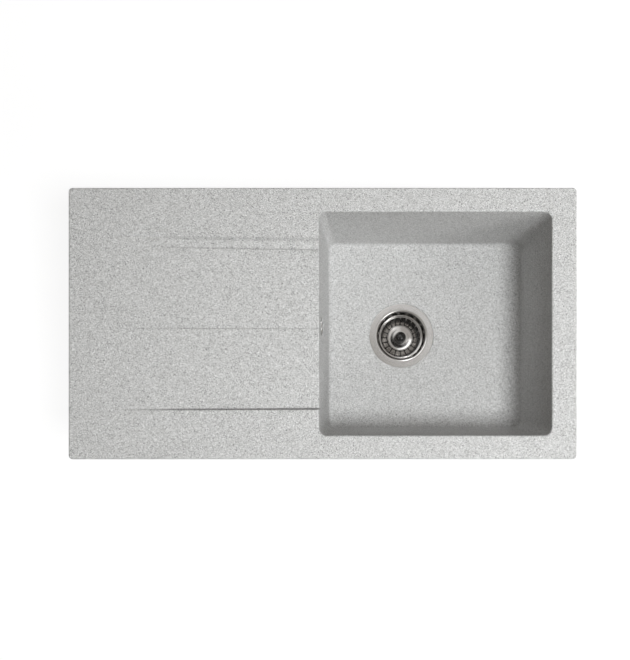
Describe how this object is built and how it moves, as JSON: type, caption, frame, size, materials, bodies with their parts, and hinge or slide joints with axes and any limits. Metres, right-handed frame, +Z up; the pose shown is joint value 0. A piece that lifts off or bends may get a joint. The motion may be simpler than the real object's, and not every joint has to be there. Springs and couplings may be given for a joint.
{
  "type": "kitchen sink",
  "caption": "Inset composite kitchen sink with a stepped drainer, square bowl, lift-out basket strainer waste, overflow and swivelling fixing clamps.",
  "frame": {"origin": "middle of the sink's outline on the worktop's top surface, which is the underside of the rim", "axes": "+X along the length from the drainer to the bowl, +Y to the back, +Z up"},
  "size_m": [0.78, 0.417, 0.298],
  "materials": {
    "composite": "cast granite composite, pale grey with fine darker and lighter grains",
    "foam_rubber": "closed-cell foam strip",
    "satin_steel": "satin",
    "polished_steel": "polished",
    "bright_steel": "bright turned",
    "zinc_steel": "bright zinc plated",
    "chrome": "polished",
    "brass": "bright",
    "black_rubber": "matt",
    "white_plastic": "moulded polypropylene",
    "grey_plastic": "moulded nylon"
  },
  "bodies": {
    "sink": {"sink_body": "composite", "rim_seal": "foam_rubber", "strainer_bowl": "satin_steel", "flange_gasket": "black_rubber", "floor_gasket": "black_rubber", "waste_body": "white_plastic", "waste_screw": "bright_steel", "waste_nut": "brass", "overflow_rosette": "chrome", "overflow_screw": "chrome", "overflow_gasket": "black_rubber", "overflow_elbow": "white_plastic", "overflow_pipe": "white_plastic", "slip_nuts": "white_plastic", "sealing_rings": "black_rubber", "screw_dowels": "grey_plastic", "clamp_screws": "zinc_steel"},
    "basket": {"strainer_basket": "polished_steel", "basket_seal": "black_rubber", "seal_washer": "grey_plastic", "basket_stem": "bright_steel", "basket_knob": "chrome"},
    "clamp_back_left": {"clamp_back_left": "zinc_steel"},
    "clamp_back_middle": {"clamp_back_middle": "zinc_steel"},
    "clamp_back_right": {"clamp_back_right": "zinc_steel"},
    "clamp_front_left": {"clamp_front_left": "zinc_steel"},
    "clamp_front_middle": {"clamp_front_middle": "zinc_steel"},
    "clamp_front_right": {"clamp_front_right": "zinc_steel"},
    "clamp_left_end": {"clamp_left_end": "zinc_steel"},
    "clamp_right_end": {"clamp_right_end": "zinc_steel"}
  },
  "joints": [
    {"name": "basket_lift", "type": "slide", "parent": "sink", "child": "basket", "axis": [0, 0, 1], "range_m": [0, 0.25]},
    {"name": "back_left_clamp_swivel", "type": "hinge", "parent": "sink", "child": "clamp_back_left", "pos_m": [-0.3, 0.1895, -0.035], "axis": [0, 0, 1], "range_deg": [-90, 90]},
    {"name": "back_middle_clamp_swivel", "type": "hinge", "parent": "sink", "child": "clamp_back_middle", "pos_m": [-0.0239, 0.1895, -0.035], "axis": [0, 0, 1], "range_deg": [-90, 90]},
    {"name": "back_right_clamp_swivel", "type": "hinge", "parent": "sink", "child": "clamp_back_right", "pos_m": [0.371, 0.1895, -0.035], "axis": [0, 0, 1], "range_deg": [-90, 90]},
    {"name": "front_left_clamp_swivel", "type": "hinge", "parent": "sink", "child": "clamp_front_left", "pos_m": [-0.3, -0.1895, -0.035], "axis": [0, 0, 1], "range_deg": [-90, 90]},
    {"name": "front_middle_clamp_swivel", "type": "hinge", "parent": "sink", "child": "clamp_front_middle", "pos_m": [-0.0239, -0.1895, -0.035], "axis": [0, 0, 1], "range_deg": [-90, 90]},
    {"name": "front_right_clamp_swivel", "type": "hinge", "parent": "sink", "child": "clamp_front_right", "pos_m": [0.371, -0.1895, -0.035], "axis": [0, 0, 1], "range_deg": [-90, 90]},
    {"name": "left_end_clamp_swivel", "type": "hinge", "parent": "sink", "child": "clamp_left_end", "pos_m": [-0.371, 0, -0.035], "axis": [0, 0, 1], "range_deg": [-90, 90]},
    {"name": "right_end_clamp_swivel", "type": "hinge", "parent": "sink", "child": "clamp_right_end", "pos_m": [0.371, 0, -0.035], "axis": [0, 0, 1], "range_deg": [-90, 90]}
  ]
}
